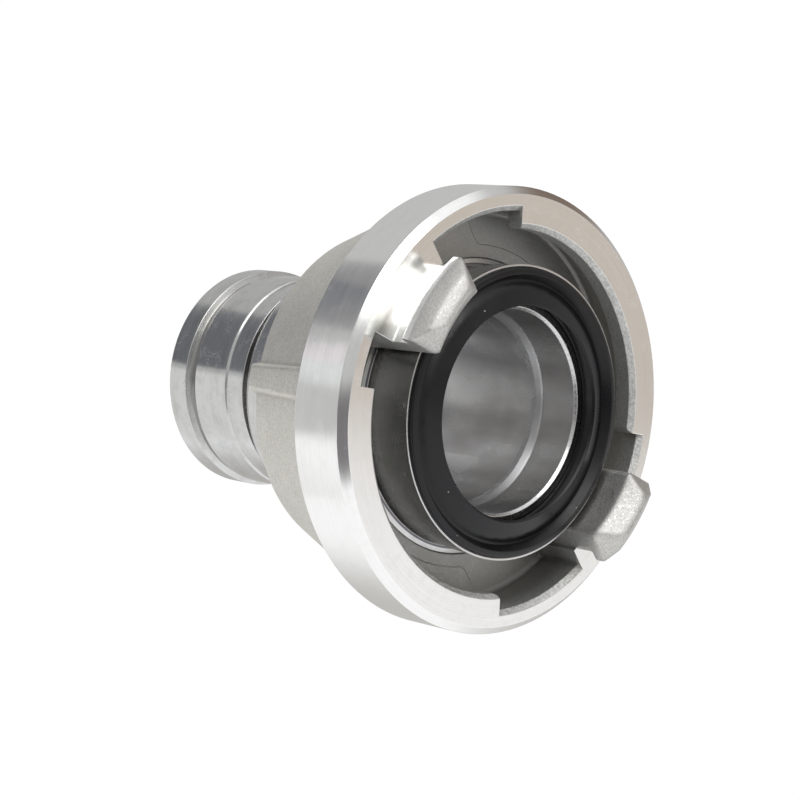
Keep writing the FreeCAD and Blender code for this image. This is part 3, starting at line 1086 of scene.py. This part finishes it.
@dataclass
class Studio:
    """White floor, soft surroundings, one large soft lamp and the camera.

    Its directions are to the right, up and to the front as the camera is held.
    """

    right: Vector = field(default_factory=lambda: Vector((-0.538407, -0.497410, 0.680222)))
    up: Vector = field(default_factory=lambda: Vector((0.606102, -0.789388, -0.097497)))
    front: Vector = field(default_factory=lambda: Vector((0.585455, 0.359791, 0.726493)))
    stand: Vector = field(default_factory=lambda: Vector((295.276, 182.366, 420.071)))
    lens: float = 99.284
    sensor: float = 36.0
    key_way: Triple = (0.28, 0.66, 0.70)
    key_height: float = 70.0  # mm, of the place on the flow axis that the lamp points to
    key_distance: float = 900.0
    key_size: float = 0.66  # m
    key_power: float = 3.0  # W
    floor_size: float = 6.0  # m
    paper: float = 0.82
    glow: float = 1.04
    glow_share: float = 0.93  # the rest is paper, which keeps the shadow
    table: Triple = (1.05, 1.055, 1.07)
    wall: Triple = (0.56, 0.56, 0.56)
    table_edge: tuple[float, float] = (-0.21, -0.12)  # the lifts between which it fades out
    card_side: float = -130.0  # mm, to the right of the flow axis
    card_front: tuple[float, float] = (-75.0, 50.0)  # mm, its two ends towards the camera

    def wall_patches(self) -> list[SoftPatch]:
        """Returns what stands round the table, later ones over earlier ones."""
        return [
            SoftPatch(0.40, 0.82, 0.40, 24, 36, (1.08, 1.08, 1.10)),
            SoftPatch(0.57, 0.50, -0.65, 8, 26, (0.20, 0.15, 0.12)),
            SoftPatch(0.99, 0.02, 0.02, 8, 24, (0.55, 0.48, 0.42)),
            SoftPatch(-0.955, 0.27, -0.10, 5, 10, (0.88, 0.90, 0.92)),
            SoftPatch(-0.935, 0.33, -0.11, 1, 5, (0.92, 0.82, 0.88)),
            SoftPatch(-0.74, 0.63, -0.25, 12, 14, (0.27, 0.27, 0.28)),
        ]

    def table_patches(self) -> list[SoftPatch]:
        """Returns the table's darker places: far behind the part, and under the camera."""
        return [
            SoftPatch(0.0, -0.42, -0.91, 5, 48, (0.56, 0.55, 0.53)),
            SoftPatch(-0.05, -0.28, 0.96, 12, 22, (0.15, 0.14, 0.15)),
        ]

    def towards(self, side: float, lift: float, front: float) -> Vector:
        """Returns a direction in the part's frame from one in the studio's."""
        return (self.right * side + self.up * lift + self.front * front).normalized()

    def build(self) -> None:
        """Makes the floor, the surroundings, the cards, the lamp and the camera."""
        self.make_floor()
        self.make_surroundings()
        self.make_card("dark_flag", (22.0, 165.0), (0.18, 0.185, 0.205))
        self.make_card("white_card", (-110.0, 14.0), (0.92, 0.92, 0.92))
        self.make_lamp()
        self.make_camera()
        bpy.context.scene.view_settings.view_transform = "Standard"

    def stage_plane(
        self, name: str, size: float, skin: str
    ) -> tuple[bpy.types.Object, Callable[..., bpy.types.Node]]:
        """Adds a plane with an empty material.

        Args:
            name: the plane's name.
            size: its width in metres.
            skin: the material's name.

        Returns:
            The plane, and add_node on its material's tree.
        """
        deselect_all()
        bpy.ops.mesh.primitive_plane_add(size=size, location=(0, 0, 0))
        plane = bpy.context.object
        plane.name = name
        material = bpy.data.materials.new(skin)
        material.use_nodes = True
        material.node_tree.nodes.clear()
        plane.data.materials.append(material)
        return plane, partial(add_node, material.node_tree)

    def make_floor(self) -> None:
        """Makes the white floor, which keeps a faint shadow of the coupling."""
        floor, add = self.stage_plane("studio_floor", self.floor_size, "white_paper_floor")
        floor.visible_glossy = False
        paper = add("ShaderNodeBsdfDiffuse", (self.paper, self.paper, self.paper, 1.0))
        glow = add("ShaderNodeEmission", (1.0, 1.0, 1.0, 1.0), self.glow)
        seen = add("ShaderNodeLightPath").outputs["Is Camera Ray"]
        share = add(MATH, seen, self.glow_share, operation="MULTIPLY")
        add("ShaderNodeOutputMaterial", add("ShaderNodeMixShader", share, paper, glow))

    def make_card(self, name: str, lifts: tuple[float, float], tone: Triple) -> None:
        """Makes a card beside the tail, seen only in reflections.

        Args:
            name: the card's name.
            lifts: its lower and upper edge in the studio's upward direction, in mm.
            tone: its brightness.
        """
        card, add = self.stage_plane(name, 1.0, name)
        corners = [(lift, front) for lift in lifts for front in self.card_front]
        for vertex, (lift, front) in zip(card.data.vertices, corners):
            place = self.right * self.card_side + self.up * lift + self.front * front
            vertex.co = place * MM
        add("ShaderNodeOutputMaterial", add("ShaderNodeEmission", (*tone, 1.0), 1.0))
        card.visible_camera = False
        card.visible_diffuse = False
        card.visible_shadow = False

    def make_surroundings(self) -> None:
        """Makes the soft studio round the part, and plain white for the camera."""
        world = bpy.data.worlds.new("studio")
        bpy.context.scene.world = world
        world.use_nodes = True
        world.node_tree.nodes.clear()
        add = partial(add_node, world.node_tree)
        way = add("ShaderNodeTexCoord").outputs["Generated"]
        lift = add(VECTOR, way, tuple(self.up), operation="DOT_PRODUCT")
        above = add(RANGE, lift, *self.table_edge)
        walls = self.dabbed(add, way, (*self.wall, 1.0), self.wall_patches())
        colour = add(MIX, above, (*self.table, 1.0), walls)
        colour = self.dabbed(add, way, colour, self.table_patches())
        seen = add("ShaderNodeLightPath").outputs["Is Camera Ray"]
        shown = add(MIX, seen, colour, (1.0, 1.0, 1.0, 1.0))
        add("ShaderNodeOutputWorld", add("ShaderNodeBackground", shown, 1.0))

    def dabbed(
        self,
        add: Callable[..., bpy.types.Node],
        way: bpy.types.NodeSocket,
        ground: Any,
        patches: list[SoftPatch],
    ) -> Any:
        """Lays soft patches over a ground colour.

        Args:
            add: add_node on the world's tree.
            way: the direction that is looked in.
            ground: a colour or the node of one.
            patches: the patches, later ones over earlier ones.

        Returns:
            The colour with the patches on it.
        """
        for patch in patches:
            aim = tuple(self.towards(patch.side, patch.lift, patch.front))
            near = add(VECTOR, way, aim, operation="DOT_PRODUCT")
            ends = [math.cos(math.radians(angle)) for angle in (patch.reach, patch.core)]
            ground = add(MIX, add(RANGE, near, *ends), ground, (*patch.tone, 1.0))
        return ground

    def make_lamp(self) -> None:
        """Makes the large soft lamp above the camera."""
        way = self.towards(*self.key_way)
        data = bpy.data.lights.new("soft_box", "AREA")
        data.shape = "SQUARE"
        data.size = self.key_size
        data.energy = self.key_power
        lamp = bpy.data.objects.new("soft_box", data)
        bpy.context.scene.collection.objects.link(lamp)
        lamp.location = Vector((0, 0, self.key_height * MM)) + way * self.key_distance * MM
        lamp.rotation_mode = "QUATERNION"
        lamp.rotation_quaternion = way.to_track_quat("Z", "Y")

    def make_camera(self) -> None:
        """Makes the camera at the photograph's place, rolled as it was held."""
        data = bpy.data.cameras.new("view")
        data.lens = self.lens
        data.sensor_width = self.sensor
        data.sensor_fit = "HORIZONTAL"
        data.clip_start = 0.02
        camera = bpy.data.objects.new("view", data)
        bpy.context.scene.collection.objects.link(camera)
        turn = Matrix((self.right, self.up, self.front)).transposed()
        camera.matrix_world = Matrix.Translation(self.stand * MM) @ turn.to_4x4()
        bpy.context.scene.camera = camera


def main() -> None:
    """Builds the pieces in order, then the studio."""
    logging.basicConfig(level=logging.INFO, format="%(message)s")
    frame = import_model()
    for part in (LugRing(frame), HoseTail(frame), FaceSeal(frame), SpringRing(frame)):
        piece = part.build()
        LOG.info("%s: built", piece.name)
    Studio().build()
    bpy.context.view_layer.update()


if __name__ == "__main__":
    main()
